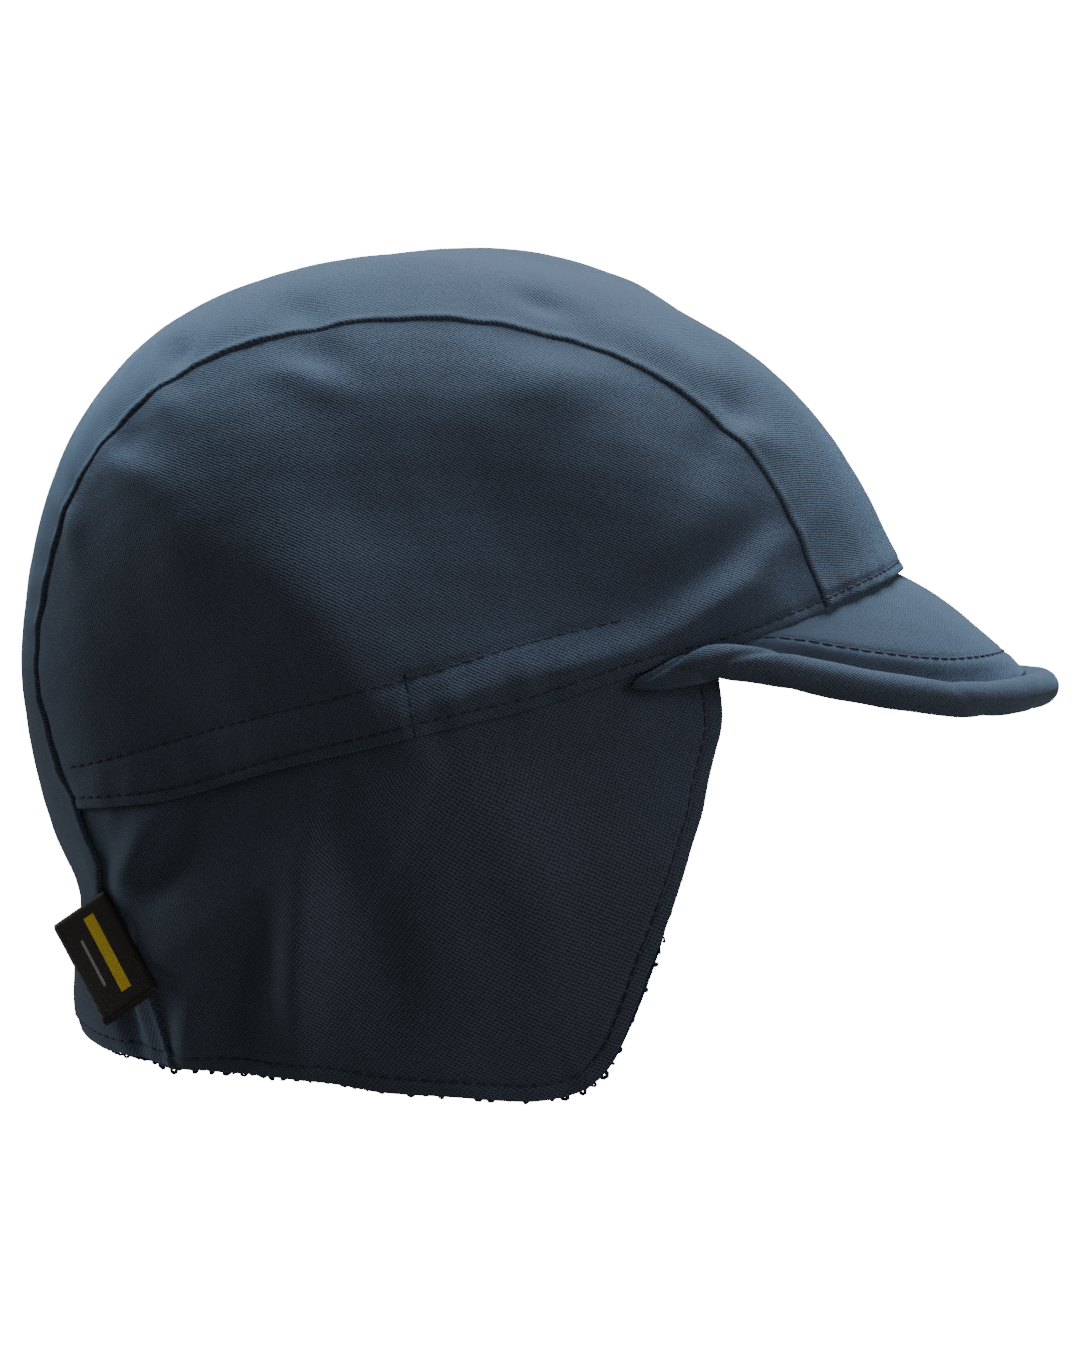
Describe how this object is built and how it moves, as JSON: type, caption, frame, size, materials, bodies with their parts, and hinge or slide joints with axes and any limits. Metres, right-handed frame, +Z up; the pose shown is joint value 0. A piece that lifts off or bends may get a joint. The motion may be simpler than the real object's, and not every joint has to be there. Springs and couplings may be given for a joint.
{
  "type": "work cap",
  "caption": "Lined winter work cap in canvas with a strip over the crown, a short soft peak, ear flaps that run round the nape, and a folded label.",
  "frame": {"origin": "middle of the head at the height of the ears, where the cap is held", "axes": "+X the way the wearer looks, along the peak; +Y the wearer's left; +Z up, out of the crown"},
  "size_m": [0.2592, 0.175, 0.2063],
  "materials": {
    "canvas": "matt navy cotton canvas",
    "pile": "short curly dark navy pile",
    "tape": "black woven tape with plain coloured bars"
  },
  "bodies": {
    "root": {"crown_strip": "canvas", "side_panel_right": "canvas", "side_panel_left": "canvas", "ear_flap_right": "canvas", "ear_flap_left": "canvas", "peak_top": "canvas", "peak_rim": "canvas", "peak_lining": "pile", "flap_lining_right": "pile", "flap_lining_left": "pile", "nape_lining": "pile", "woven_label": "tape"}
  },
  "joints": []
}
